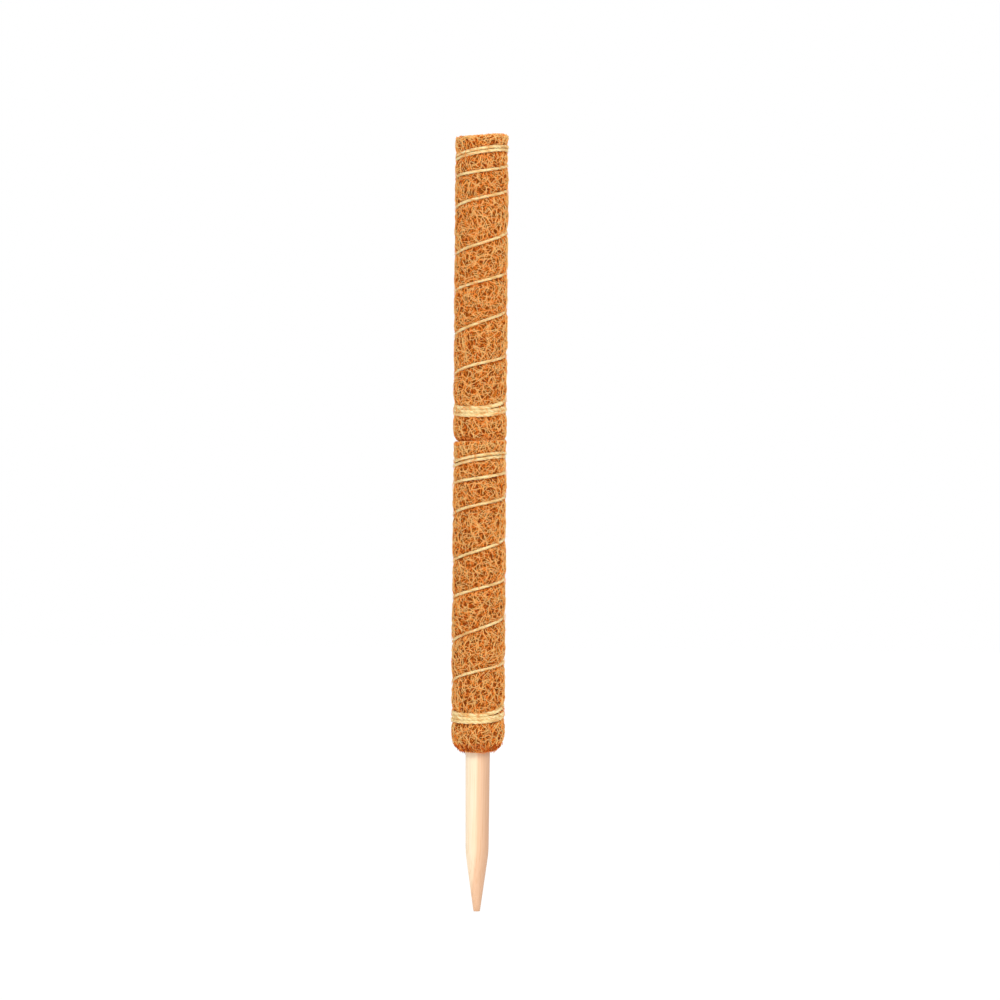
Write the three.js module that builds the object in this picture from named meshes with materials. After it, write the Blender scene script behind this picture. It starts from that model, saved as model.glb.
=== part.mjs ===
// Stackable moss pole: two alike sections, each a coir mat rolled round a core tube, bound
// with one length of twine, on a pointed wooden stake. The upper section's stake stands in
// the lower section's core tube. Millimetres, +Z up, origin on the pole's axis at the soil
// line, which is the underside of the lower section's coir.
import * as THREE from "three";

// Coir mat
const coirLength = 198.5;
const coirDiameter = 34.4; // over the swells between the twine's turns
const coirUndersideFlat = 1.6; // width of the flat ring round the stake
const coirUndersideHeight = 9.5; // the rounded underside reaches this far up the side
const coirTopRounding = 2;
const coirTopSlant = 2.4; // the cut across the top is this much lower on the left
const coirTuck = 5; // thickness of the coir folded in under the core tube
const seamWidth = 0.6; // where the mat's two long edges meet, at the back

// Core tube
const tubeWall = 1.9;
const tubeRecess = 4; // from the coir's top down to the tube's rim

// Stake
const stakeDiameter = 15.6;
const stakeExposed = 102.7; // from the coir's underside down to the tip
const stakeShoulderDiameter = 14.8; // where the point begins
const stakePointLength = 43;
const stakeShoulderLength = 10; // of the point, rounded into the shank
const stakeTipDiameter = 4.2;
const stakeChamfer = 1;
const stakeEndGap = 10; // from a stake's inner end to the tip of the stake above it

// Twine
const twineDiameter = 1.8;
const twineSink = 1.2; // its centre line, below the coir's swells
const bandGap = 0.5; // between neighbouring turns of a band
const bottomBandTurns = 3;
const bottomBandHeight = 17.8; // of its lowest turn at the front, above the coir's underside
const bottomBandLean = 0.3; // of the band's tilt, up to the right
const bottomBandTip = 2.4; // of the band's tilt, up to the back
const topBandTurns = 2;
const topBandDrop = 12.5; // of its lowest turn at the front, below the coir's top
const topBandLean = 2.2;
const topBandTip = -1.4;
// Between the bands, each pass of the front as a share of the way up from band to band.
const freePasses = [0.173, 0.336, 0.495, 0.643, 0.822, 0.926];
// The rise per turn at each of those passes, as a share of an even winding's.
const freeRises = [0.98, 1.6, 1.22, 1.38, 1, 0.6];
const bandFade = 1; // turns over which a band's tilt fades into the open winding
// Wound by hand, the two sections' twine sits this much higher or lower.
const lowerWindingShift = 1.25;
const upperWindingShift = -1.25;
const grooveShoulder = 2.3; // along the pole, from the groove's floor up to the swell
const floorShare = 0.2; // most of the way to the next turn that a groove's floor takes
const swellShare = 0.4; // most of the way to the next turn where the swell begins

// Knots, in the twine's two ends
const knotDiameter = 3.2;
const knotFaceDiameter = 2.4;
const knotLength = 4;
const knotStart = 0.1; // turns from the seam to where the twine leaves its knot
const knotLift = 0.7; // off the floor of the groove
const knotRamp = 0.25; // turns over which the twine climbs to its knot

// Clearances
const fitClearance = 0.3; // all round, between pieces that seat in one another
const sectionGap = 0.3; // between the stacked sections

// Facets
const aroundSteps = 24;
const twineSides = 6;
const roundingSteps = 3;

// Sizes that follow
const coirRadius = coirDiameter / 2;
const stakeRadius = stakeDiameter / 2;
const boreRadius = stakeRadius + fitClearance;
const tubeRadius = boreRadius + tubeWall;
const seatRadius = tubeRadius + fitClearance;
const sectionPitch = coirLength + sectionGap;
const stakeInserted = sectionPitch - stakeExposed - stakeEndGap;
const twineRadius = twineDiameter / 2;
const twineLineRadius = coirRadius - twineSink;
const bandPitch = twineDiameter + bandGap;
const grooveRadius = twineLineRadius - twineRadius - fitClearance;
const grooveHalfWidth = twineRadius + fitClearance;
const knotLineRadius = grooveRadius + knotLift + knotDiameter / 2;
const knotOffset = (knotDiameter - twineDiameter) / 2; // clear of the next turn
const turnCount = bottomBandTurns + freePasses.length + topBandTurns;

const backAngle = Math.PI / 2;
const frontTurn = 0.5; // turns from the seam at the back round to the front

const looks = {
  coir: { color: 0xcd8445, roughness: 0.95, metalness: 0 },
  tube: { color: 0xd9d6cc, roughness: 0.45, metalness: 0 },
  stake: { color: 0xf2d6ac, roughness: 0.6, metalness: 0 },
  twine: { color: 0xe6cb93, roughness: 0.9, metalness: 0 },
};

// A closed solid of revolution about +Z from [radius, height] points.
function turned(profile) {
  const points = profile.map(([radius, height]) => new THREE.Vector2(radius, height));
  return new THREE.LatheGeometry(points, aroundSteps).rotateX(Math.PI / 2);
}

// A solid whose closed sections, of equally many points each, follow one another along it,
// with a flat cap on the first and the last.
function swept(sections, capTriangles) {
  const size = sections[0].length;
  const last = (sections.length - 1) * size;
  const faces = [];
  for (let s = 0; s < sections.length - 1; s++) {
    for (let i = 0; i < size; i++) {
      const next = (i + 1) % size;
      const a = s * size + i;
      const b = s * size + next;
      faces.push(a, b + size, b, a, a + size, b + size);
    }
  }
  for (const [a, b, c] of capTriangles(sections[0])) {
    faces.push(a, b, c);
  }
  for (const [a, b, c] of capTriangles(sections[sections.length - 1])) {
    faces.push(last + c, last + b, last + a);
  }
  const positions = sections.flat().flatMap((point) => point.toArray());
  const geometry = new THREE.BufferGeometry();
  geometry.setAttribute("position", new THREE.Float32BufferAttribute(positions, 3));
  geometry.setIndex(faces);
  geometry.computeVertexNormals();
  return geometry;
}

function onPole(angle, radius, height) {
  return new THREE.Vector3(radius * Math.cos(angle), radius * Math.sin(angle), height);
}

// Height of the twine at each pass of the front, from the bottom up.
function frontHeights() {
  const heights = [];
  for (let turn = 0; turn < bottomBandTurns; turn++) {
    heights.push(bottomBandHeight + turn * bandPitch);
  }
  const low = heights[heights.length - 1];
  const high = coirLength - topBandDrop;
  for (const share of freePasses) {
    heights.push(THREE.MathUtils.lerp(low, high, share));
  }
  for (let turn = 0; turn < topBandTurns; turn++) {
    heights.push(high + turn * bandPitch);
  }
  return heights;
}

const passes = frontHeights();

// Rise per turn at a pass: a band's own, or the open winding's.
function riseAt(pass) {
  if (pass < bottomBandTurns || pass >= turnCount - topBandTurns) return bandPitch;
  const bandToBand = passes[turnCount - topBandTurns] - passes[bottomBandTurns - 1];
  return (freeRises[pass - bottomBandTurns] * bandToBand) / (freePasses.length + 1);
}

// Height of the twine's line, before the bands' tilt, after so many turns from the seam.
function levelAt(turns) {
  const along = turns - frontTurn;
  const pass = THREE.MathUtils.clamp(Math.floor(along), 0, passes.length - 2);
  const t = along - pass;
  if (t < 0) return passes[0] + along * bandPitch;
  if (t > 1) return passes[pass + 1] + (t - 1) * bandPitch;
  const rest = 1 - t;
  return (
    passes[pass] * (1 + 2 * t) * rest * rest +
    passes[pass + 1] * (3 - 2 * t) * t * t +
    riseAt(pass) * t * rest * rest -
    riseAt(pass + 1) * rest * t * t
  );
}

// The twine starts at the seam at the back and climbs round by the left, front and right.
function twineHeight(turns) {
  const fromFront = 2 * Math.PI * (turns - frontTurn);
  const bottomEnd = bottomBandTurns - frontTurn;
  const topStart = turnCount - topBandTurns + frontTurn;
  const inBottomBand = 1 - THREE.MathUtils.smoothstep(turns, bottomEnd, bottomEnd + bandFade);
  const inTopBand = THREE.MathUtils.smoothstep(turns, topStart - bandFade, topStart);
  const lean = bottomBandLean * inBottomBand + topBandLean * inTopBand;
  const tip = bottomBandTip * inBottomBand + topBandTip * inTopBand;
  return levelAt(turns) + lean * Math.sin(fromFront) + tip * (1 - Math.cos(fromFront));
}

function angleAt(turns) {
  return backAngle + 2 * Math.PI * turns;
}

// A point of the twine's centre line, which climbs out of its groove to the knots.
function twinePoint(turns, shift) {
  const lastTurn = turnCount - knotStart;
  const toStart = 1 - THREE.MathUtils.smoothstep(turns, knotStart, knotStart + knotRamp);
  const toEnd = THREE.MathUtils.smoothstep(turns, lastTurn - knotRamp, lastTurn);
  const radius = THREE.MathUtils.lerp(twineLineRadius, knotLineRadius, toStart + toEnd);
  const height = shift + twineHeight(turns) + knotOffset * (toEnd - toStart);
  return onPole(angleAt(turns), radius, height);
}

function twineDirection(turns) {
  const step = 1e-3;
  return twinePoint(turns + step, 0).sub(twinePoint(turns - step, 0)).normalize();
}

// One unbroken round tube along the winding, with a straight run as long as the twine is
// thick at each end.
function twineSections(shift) {
  const firstTurn = knotStart;
  const lastTurn = turnCount - knotStart;
  const steps = Math.round((lastTurn - firstTurn) * aroundSteps);
  const stations = [{ turns: firstTurn, run: -twineDiameter }];
  for (let step = 0; step <= steps; step++) {
    stations.push({ turns: THREE.MathUtils.lerp(firstTurn, lastTurn, step / steps), run: 0 });
  }
  stations.push({ turns: lastTurn, run: twineDiameter });
  return stations.map(({ turns, run }) => {
    const direction = twineDirection(turns);
    const centre = twinePoint(turns, shift).addScaledVector(direction, run);
    const out = onPole(angleAt(turns), 1, 0);
    const side = new THREE.Vector3().crossVectors(out, direction).normalize();
    out.crossVectors(direction, side);
    return Array.from({ length: twineSides }, (_, i) => {
      const turn = (2 * Math.PI * i) / twineSides;
      return centre
        .clone()
        .addScaledVector(out, twineRadius * Math.cos(turn))
        .addScaledVector(side, twineRadius * Math.sin(turn));
    });
  });
}

function twineGeometry(shift) {
  const fan = (section) => section.slice(2).map((_, i) => [0, i + 1, i + 2]);
  return swept(twineSections(shift), fan);
}

// Least clear distance between one stretch of the twine and the turns beside it.
function leastTwineGap() {
  const samples = turnCount * aroundSteps * 2;
  const points = [];
  for (let i = 0; i <= samples; i++) {
    const turns = THREE.MathUtils.lerp(knotStart, turnCount - knotStart, i / samples);
    points.push({ turns, at: twinePoint(turns, 0) });
  }
  let least = Infinity;
  for (const a of points) {
    for (const b of points) {
      if (b.turns - a.turns > 0.5 && b.turns - a.turns < 1.5) {
        least = Math.min(least, a.at.distanceTo(b.at));
      }
    }
  }
  return least - twineDiameter;
}

// The coir mat's outline at one angle round the pole, as [radius, height] points: up the
// outside, with a groove under each turn of the twine, and down the bore.
function coirOutline(turnShare, shift) {
  const heights = passes.map((_, turn) => shift + twineHeight(turn + turnShare));
  const toRight = Math.cos(angleAt(turnShare)) / coirRadius;
  const topAt = (radius) => coirLength - (coirTopSlant / 2) * (1 - radius * toRight);
  const flatRadius = boreRadius + coirUndersideFlat;
  const outline = [
    [boreRadius, 0],
    [flatRadius, 0],
  ];
  for (let step = 1; step <= roundingSteps; step++) {
    const turn = (Math.PI / 2) * (step / roundingSteps);
    outline.push([
      THREE.MathUtils.lerp(flatRadius, coirRadius, Math.sin(turn)),
      coirUndersideHeight * (1 - Math.cos(turn)),
    ]);
  }
  const swellAt = (distance) => {
    const share = THREE.MathUtils.clamp((distance - grooveHalfWidth) / grooveShoulder, 0, 1);
    return THREE.MathUtils.lerp(grooveRadius, coirRadius, share);
  };
  heights.forEach((height, turn) => {
    const below = turn === 0 ? Infinity : height - heights[turn - 1];
    const above = turn === heights.length - 1 ? Infinity : heights[turn + 1] - height;
    const floorBelow = Math.min(grooveHalfWidth, below * floorShare);
    const swellBelow = Math.min(grooveHalfWidth + grooveShoulder, below * swellShare);
    const floorAbove = Math.min(grooveHalfWidth, above * floorShare);
    const swellAbove = Math.min(grooveHalfWidth + grooveShoulder, above * swellShare);
    outline.push(
      [swellAt(swellBelow), height - swellBelow],
      [swellAt(floorBelow), height - floorBelow],
      [swellAt(floorAbove), height + floorAbove],
      [swellAt(swellAbove), height + swellAbove],
    );
  });
  outline.push(
    [coirRadius, topAt(coirRadius) - coirTopRounding],
    [coirRadius - coirTopRounding, topAt(coirRadius - coirTopRounding)],
    [seatRadius, topAt(seatRadius)],
    [seatRadius, coirTuck],
    [boreRadius, coirTuck],
  );
  return outline;
}

// The mat goes once round the tube, and its long edges face each other across the seam.
function coirGeometry(shift) {
  const edge = seamWidth / coirDiameter;
  const sections = [];
  const outlines = [];
  for (let step = 0; step <= aroundSteps; step++) {
    const share = step / aroundSteps;
    const full = 2 * Math.PI * share;
    const angle = backAngle + THREE.MathUtils.clamp(full, edge, 2 * Math.PI - edge);
    const outline = coirOutline(share, shift);
    outlines.push(outline);
    sections.push(outline.map(([radius, height]) => onPole(angle, radius, height)));
  }
  const cap = (section) => {
    const outline = section === sections[0] ? outlines[0] : outlines[aroundSteps];
    const contour = outline.map(([radius, height]) => new THREE.Vector2(radius, height));
    return THREE.ShapeUtils.triangulateShape(contour, []);
  };
  return swept(sections, cap);
}

function tubeGeometry() {
  const foot = coirTuck + fitClearance;
  const rim = coirLength - tubeRecess;
  return turned([
    [boreRadius, foot],
    [tubeRadius, foot],
    [tubeRadius, rim],
    [boreRadius, rim],
    [boreRadius, foot],
  ]);
}

// Blunt point, rounded shoulder, and a shank that swells a little up to the coir.
function stakeGeometry() {
  const tipRadius = stakeTipDiameter / 2;
  const shoulderRadius = stakeShoulderDiameter / 2;
  const tip = -stakeExposed;
  const shoulder = tip + stakePointLength;
  const bend = stakePointLength - stakeShoulderLength / 2;
  const coneTop = stakePointLength - stakeShoulderLength;
  const coneRadius = THREE.MathUtils.lerp(tipRadius, shoulderRadius, coneTop / bend);
  const side = new THREE.Path();
  side.moveTo(0, tip);
  side.lineTo(tipRadius, tip);
  side.lineTo(coneRadius, tip + coneTop);
  side.quadraticCurveTo(shoulderRadius, tip + bend, shoulderRadius, shoulder);
  side.lineTo(stakeRadius, 0);
  side.lineTo(stakeRadius, stakeInserted - stakeChamfer);
  side.lineTo(stakeRadius - stakeChamfer, stakeInserted);
  side.lineTo(0, stakeInserted);
  return turned(side.getPoints(roundingSteps).map((point) => [point.x, point.y]));
}

// A barrel-shaped knot, standing along +Z on the face that the twine meets.
function knotGeometry() {
  const side = new THREE.Path();
  side.moveTo(0, 0);
  side.lineTo(knotFaceDiameter / 2, 0);
  const belly = knotDiameter - knotFaceDiameter / 2;
  side.quadraticCurveTo(belly, knotLength / 2, knotFaceDiameter / 2, knotLength);
  side.lineTo(0, knotLength);
  const points = side.getPoints(2 * roundingSteps).map((point) => new THREE.Vector2(point.x, point.y));
  return new THREE.LatheGeometry(points, aroundSteps / 2).rotateX(Math.PI / 2);
}

function placeKnot(mesh, turns, outward, shift) {
  const along = twineDirection(turns).multiplyScalar(outward);
  mesh.position.copy(twinePoint(turns, shift));
  mesh.position.addScaledVector(along, twineDiameter + fitClearance);
  mesh.quaternion.setFromUnitVectors(new THREE.Vector3(0, 0, 1), along);
}

function makeSection(position, shift) {
  const section = new THREE.Group();
  const add = (piece, geometry, look) => {
    const material = new THREE.MeshStandardMaterial(looks[look]);
    const mesh = new THREE.Mesh(geometry, material);
    mesh.name = `${position}_${piece}`;
    section.add(mesh);
    return mesh;
  };
  add("stake", stakeGeometry(), "stake");
  add("core_tube", tubeGeometry(), "tube");
  add("coir_wrap", coirGeometry(shift), "coir");
  add("twine", twineGeometry(shift), "twine");
  const bottomKnot = add("twine_bottom_knot", knotGeometry(), "twine");
  const topKnot = add("twine_top_knot", knotGeometry(), "twine");
  placeKnot(bottomKnot, knotStart, -1, shift);
  placeKnot(topKnot, turnCount - knotStart, 1, shift);
  return section;
}

console.log(`least gap between the twine's turns: ${leastTwineGap().toFixed(2)} mm`);

const mossPole = new THREE.Group();
const lowerSection = makeSection("lower", lowerWindingShift);
const upperSection = makeSection("upper", upperWindingShift);
upperSection.position.z = sectionPitch;
mossPole.add(lowerSection, upperSection);

export default mossPole;
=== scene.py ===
"""Looks for the stackable moss pole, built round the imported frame.

Metres throughout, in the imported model's own frame: the origin is on the pole's axis at the soil
line, +Z is up and -Y faces the photograph's camera. Each of the two sections is a coir mat of loose
fibres, a winding of three-ply twine with a knot at each end, a wooden stake and a plastic core tube.
"""

import math

import bpy
import numpy as np
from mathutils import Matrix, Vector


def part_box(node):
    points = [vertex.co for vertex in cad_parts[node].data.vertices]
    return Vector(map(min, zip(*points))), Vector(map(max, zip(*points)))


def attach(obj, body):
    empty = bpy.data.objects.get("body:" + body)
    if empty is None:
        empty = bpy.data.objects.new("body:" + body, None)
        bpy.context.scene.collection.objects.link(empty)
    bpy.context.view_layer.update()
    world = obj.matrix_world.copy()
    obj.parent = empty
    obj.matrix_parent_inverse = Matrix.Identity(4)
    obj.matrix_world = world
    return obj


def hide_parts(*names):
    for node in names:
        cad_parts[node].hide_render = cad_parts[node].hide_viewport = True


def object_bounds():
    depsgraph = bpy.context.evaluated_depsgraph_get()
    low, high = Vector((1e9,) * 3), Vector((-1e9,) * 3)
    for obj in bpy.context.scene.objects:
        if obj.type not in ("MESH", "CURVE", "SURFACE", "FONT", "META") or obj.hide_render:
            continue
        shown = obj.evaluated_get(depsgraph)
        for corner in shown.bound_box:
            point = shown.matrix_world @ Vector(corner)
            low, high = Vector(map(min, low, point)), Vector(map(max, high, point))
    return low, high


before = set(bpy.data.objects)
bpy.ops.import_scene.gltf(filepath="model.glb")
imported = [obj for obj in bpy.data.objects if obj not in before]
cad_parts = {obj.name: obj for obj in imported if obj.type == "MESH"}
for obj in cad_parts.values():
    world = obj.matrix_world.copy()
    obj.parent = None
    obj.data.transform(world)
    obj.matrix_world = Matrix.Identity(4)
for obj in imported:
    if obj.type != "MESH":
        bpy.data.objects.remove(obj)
cad_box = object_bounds()

MM = 0.001

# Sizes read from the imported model, each section's own zero at its coir's underside
coir_low, coir_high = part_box("lower_coir_wrap")
stake_low, stake_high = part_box("lower_stake")
tube_low, tube_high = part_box("lower_core_tube")
upper_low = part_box("upper_coir_wrap")[0]
COIR_RADIUS = coir_high.x
STAKE_RADIUS = stake_high.x
STAKE_TIP = stake_low.z
STAKE_TOP = stake_high.z
TUBE_RADIUS = tube_high.x
TUBE_FOOT = tube_low.z
TUBE_RIM = tube_high.z
SECTION_PITCH = upper_low.z - coir_low.z
SECTION_GAP = 0.3 * MM
COIR_LENGTH = SECTION_PITCH - SECTION_GAP

# The twine's winding, as in the part's source
TWINE_RADIUS = 0.9 * MM
TWINE_LINE_RADIUS = COIR_RADIUS - 1.2 * MM
BAND_PITCH = 2.3 * MM
BOTTOM_BAND_TURNS = 3
BOTTOM_BAND_HEIGHT = 17.8 * MM
BOTTOM_BAND_LEAN = 0.3 * MM
BOTTOM_BAND_TIP = 2.4 * MM
TOP_BAND_TURNS = 2
TOP_BAND_DROP = 12.5 * MM
TOP_BAND_LEAN = 2.2 * MM
TOP_BAND_TIP = -1.4 * MM
FREE_PASSES = (0.173, 0.336, 0.495, 0.643, 0.822, 0.926)
FREE_RISES = (0.98, 1.6, 1.22, 1.38, 1, 0.6)
BAND_FADE = 1
TURN_COUNT = BOTTOM_BAND_TURNS + len(FREE_PASSES) + TOP_BAND_TURNS
FRONT_TURN = 0.5
BACK_ANGLE = math.pi / 2
KNOT_START = 0.1
KNOT_RAMP = 0.25
KNOT_LINE_RADIUS = TWINE_LINE_RADIUS + 1.1 * MM
KNOT_OFFSET = 0.7 * MM

# The coir mat's outside
GROOVE_FLOOR = TWINE_LINE_RADIUS - TWINE_RADIUS + 0.15 * MM
GROOVE_HALF_WIDTH = 0.8 * MM
GROOVE_SHOULDER = 0.9 * MM  # of the crease along the twine
WAIST_SHOULDER = 5.0 * MM  # of the waist that the twine draws in round the mat
WAIST_SHARE = 0.5  # of the groove's depth
SLANT_DEPTH = 7 * MM  # the fibres bunch up over this much of the side to make the slant
BORE_RADIUS = STAKE_RADIUS + 0.4 * MM
SEAT_RADIUS = TUBE_RADIUS + 0.2 * MM
TUCK = 5 * MM
SEAM_DEPTH = 1.0 * MM
SEAM_HALF_WIDTH = 0.8 * MM
PRESSED_LIFT = 0.35  # of a fibre's lift is left under the twine
CORNER_POINTS = 14
MAT_COLUMNS = 144
MAT_ROW = 0.9 * MM
MAT_DEPTH = 0.75 * MM  # of the felted body under the mat's outside
# Slow swells of the mat: times round, waves in a metre up it, start and height of each
LUMPS = (
    (1, 13, 0.4, 0.12 * MM),
    (2, -21, 1.9, 0.1 * MM),
    (3, 37, 4.1, 0.08 * MM),
    (5, -61, 2.7, 0.07 * MM),
    (4, 97, 5.5, 0.07 * MM),
)

# Fibres
FIBRE_PIECES = "abcd"
FIBRE_SIDES = 3
FIBRE_DEPTH = 1.3 * MM
WEAVE = 5.5 * MM  # along a fibre, from one rise out of the mat to the next
WEAVE_SHARE = 0.28  # of a fibre's height, the rest being its own layer
EVEN_STEP = 1.2207440846057596  # steps by its powers spread three values evenly
EVEN_SHAKE = 0.35  # of the space between neighbours
LOCK_JITTER = 0.15  # of the pitch
LOCK_FAN = (0.7, 0.6)  # of the pitch at a lock's start, and more at its end
LOOSE_LIFT = (0.4 * MM, 1.7 * MM)  # of a free end
LOOSE_FROM = 0.55  # along the fibre
FIBRE_TIP = 0.4  # of its width
TONE_RANGE = (0.02, 0.98)
ALONG_RANGE = (0.02, 0.98)  # of a fibre on its map
TONE_STRIP = 0.008  # width of a fibre on its map
SHORT_FIBRES = {
    "locks": 2860,
    "per_lock": 2,  # fibres side by side
    "pitch": 0.2 * MM,
    "points": 6,
    "length": (6.5 * MM, 12.5 * MM),
    "width": (0.2 * MM, 0.33 * MM),
    "crest": (-0.9 * MM, 0.15 * MM),
    "curl": 60,  # radians in a metre
    "wander": 7,
    "tone": (-0.66, 2.2, 0.06),  # of the deepest, more for the highest, and its spread: painted shade, darker the deeper a fibre lies in the mat
    "over": 0.06,  # share that runs over the twine
    "loose": 0.03,  # share with one end free
}
LONG_FIBRES = {
    "locks": 50,
    "per_lock": 1,
    "pitch": 0,
    "points": 12,
    "length": (14 * MM, 34 * MM),
    "width": (0.28 * MM, 0.44 * MM),
    "crest": (-0.35 * MM, 0.1 * MM),
    "curl": 45,
    "wander": 4,
    # painted shade by depth, as for the short fibres but less
    "tone": (0.5, 0.2, 0.12),
    "over": 0.12,
    "loose": 0.1,
}
FOOT_PAINTED_SHADE = 0.27  # painted shade: the mat's foot is darker and browner, where it turns under
END_REACH = 7 * MM
RIM_PAINTED_LIGHT = 0.34  # painted light: its top edge paler, as lit from above
RIM_REACH = 9 * MM
PROUD_PAINTED_LIGHT = 0.5  # painted light: the least tone of what runs over the twine or stands off the mat, which stands out of the painted shade
CREASE_PAINTED_SHADE = 0.7  # painted shade: fibres darker in the crease under the twine, for the twine's shadow
CREASE_REACH = 2.4 * MM
LEFT_PAINTED_SHADE = 0.035  # painted shade: the mat is darker and redder on the left
PATCH_TONE = 200  # for a metre of swell
PATCH_CLOSER = 3  # than the swells, along the mat
# Cut ends: where they start along the outline from the corner, how far they run, how much outwards
BOTTOM_FRINGE = {
    "end": -1,
    "from": (-12 * MM, -5 * MM),
    "length": (0.9 * MM, 2.8 * MM),
    "outwards": (0.0, 0.5),
    # painted shade: the cut ends at the foot are darker
    "tone": 0.22,
}
TOP_FRINGE = {
    "end": 1,
    "from": (0, 5 * MM),
    "length": (0.8 * MM, 2.2 * MM),
    "outwards": (0.0, 0.25),
    # painted light: the cut ends at the top edge are paler
    "tone": 0.5,
}
FRINGE_COUNTS = {"lower": (300, 120), "upper": (90, 70)}  # at the bottom, at the top
FRINGE_POINTS = 4
FRINGE_SWAY = 0.5  # radians to either side
FRINGE_STEP = 1 * MM  # over which a cut end's direction is taken
FRINGE_DEPTH = (-0.9 * MM, -0.1 * MM)
FRINGE_SAG = 0.12  # of its length
FRINGE_WIDTH = (0.35 * MM, 0.7 * MM)
FRINGE_THIN = 0.5  # of its width is lost at the tip
FRINGE_TONES = 0.2

# Pale stray fibres seen on both sections alike, in millimetres across the front and up the section:
# across and up at one end, at the other end, and the bow between
STRAY_FIBRES = (
    (-5.6, 149.1, 5.4, 131.8, 1.6),
    (-7.6, 178.6, -2.4, 174.8, 0.5),
    (-9.3, 11.2, -3.5, 1.6, 0.4),
    (-4.6, 14.5, 0.6, 8.0, -0.5),
    (3.2, 48.0, 10.2, 54.5, -0.8),
    (-9.8, 92.5, -1.5, 88.0, 0.9),
)
STRAY_POINTS = 14
STRAY_LIFT = 0.05 * MM
STRAY_RADIUS = 0.27 * MM
STRAY_TIP = 0.5  # of its radius
STRAY_TONE = 0.95

SECTIONS = (
    # name, height of its zero, body of its coir and twine, body of its stake, seed
    ("lower", coir_low.z, "lower_section", "lower_section", 11),
    ("upper", upper_low.z, "upper_section", "upper_peg", 12),
)
UNDERSIDE_HEIGHT = {"lower": 10.6 * MM, "upper": 6.0 * MM}  # how far up its rounded underside reaches
UNDERSIDE_FLAT = {"lower": 0.9 * MM, "upper": 4.0 * MM}
UNDERSIDE_TAPER = {"lower": 3.2 * MM, "upper": 0}  # of that height, as a plain cone
TOP_ROUNDING = {"lower": 3.4 * MM, "upper": 4.4 * MM}
TOP_SLANT = {"lower": 1.2 * MM, "upper": 2.4 * MM}  # the upper section presses the lower one's flat
FACE_LIFT = {"lower": (0.7 * MM, 0.5 * MM), "upper": (0.5 * MM, -1.1 * MM)}  # of underside and top
RIM_RISE = {"lower": 2.0 * MM, "upper": 0}  # the lower mat's rim laps the upper's rounded foot
RIM_LEAN = 0.2  # of that rise, more on the right and less on the left
RIM_INSIDE = 3 * MM
WINDING_SHIFT = {"lower": 1.25 * MM, "upper": -1.25 * MM}


def smooth(value, low, high):
    """0 up to low, 1 from high on, and an even S between."""
    share = np.clip((value - low) / (high - low), 0, 1)
    return share * share * (3 - 2 * share)


def unit(vectors):
    return vectors / np.linalg.norm(vectors, axis=-1, keepdims=True)


def colour(red, green, blue):
    """An sRGB colour of 0 to 255 as a shader's linear RGBA."""
    values = np.array([red, green, blue]) / 255
    linear = np.where(values <= 0.04045, values / 12.92, ((values + 0.055) / 1.055) ** 2.4)
    return (*linear.tolist(), 1.0)


# The twine's winding


def front_heights():
    """Height of the twine at each pass of the front, from the bottom up."""
    bottom = BOTTOM_BAND_HEIGHT + BAND_PITCH * np.arange(BOTTOM_BAND_TURNS)
    high = COIR_LENGTH - TOP_BAND_DROP
    free = bottom[-1] + (high - bottom[-1]) * np.array(FREE_PASSES)
    top = high + BAND_PITCH * np.arange(TOP_BAND_TURNS)
    return np.concatenate([bottom, free, top])


def front_rises(passes):
    """Rise per turn at each pass: a band's own, or the open winding's."""
    rises = np.full(len(passes), BAND_PITCH)
    band_to_band = passes[TURN_COUNT - TOP_BAND_TURNS] - passes[BOTTOM_BAND_TURNS - 1]
    even = band_to_band / (len(FREE_PASSES) + 1)
    rises[BOTTOM_BAND_TURNS : TURN_COUNT - TOP_BAND_TURNS] = even * np.array(FREE_RISES)
    return rises


PASSES = front_heights()
RISES = front_rises(PASSES)


def level_at(turns):
    """Height of the twine's line, before the bands' tilt, after so many turns from the seam."""
    along = turns - FRONT_TURN
    first = np.clip(np.floor(along), 0, len(PASSES) - 2).astype(int)
    t = np.clip(along - first, 0, 1)
    rest = 1 - t
    level = PASSES[first] * (1 + 2 * t) * rest**2 + PASSES[first + 1] * (3 - 2 * t) * t**2
    level += RISES[first] * t * rest**2 - RISES[first + 1] * rest * t**2
    return level + BAND_PITCH * (along - first - t)


def twine_height(turns):
    from_front = math.tau * (turns - FRONT_TURN)
    bottom_end = BOTTOM_BAND_TURNS - FRONT_TURN
    top_start = TURN_COUNT - TOP_BAND_TURNS + FRONT_TURN
    in_bottom = 1 - smooth(turns, bottom_end, bottom_end + BAND_FADE)
    in_top = smooth(turns, top_start - BAND_FADE, top_start)
    lean = BOTTOM_BAND_LEAN * in_bottom + TOP_BAND_LEAN * in_top
    tip = BOTTOM_BAND_TIP * in_bottom + TOP_BAND_TIP * in_top
    return level_at(turns) + lean * np.sin(from_front) + tip * (1 - np.cos(from_front))


def on_pole(turns, radius, height):
    angle = BACK_ANGLE + math.tau * turns
    return np.stack([radius * np.cos(angle), radius * np.sin(angle), height], axis=-1)


def twine_line(turns):
    """The twine's centre line, which climbs out of its groove to the knots."""
    last_turn = TURN_COUNT - KNOT_START
    to_start = 1 - smooth(turns, KNOT_START, KNOT_START + KNOT_RAMP)
    to_end = smooth(turns, last_turn - KNOT_RAMP, last_turn)
    radius = TWINE_LINE_RADIUS + (KNOT_LINE_RADIUS - TWINE_LINE_RADIUS) * (to_start + to_end)
    return on_pole(turns, radius, twine_height(turns) + KNOT_OFFSET * (to_end - to_start))


# Meshes

CAP_ON_MAP = 0.01  # size of a tube's end


def circle(sides):
    """Cosines and sines of angles evenly round."""
    angle = math.tau * np.arange(sides) / sides
    return np.stack([np.cos(angle), np.sin(angle)], axis=-1)


def new_object(name, data):
    thing = bpy.data.objects.new(name, data)
    bpy.context.scene.collection.objects.link(thing)
    return thing


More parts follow.
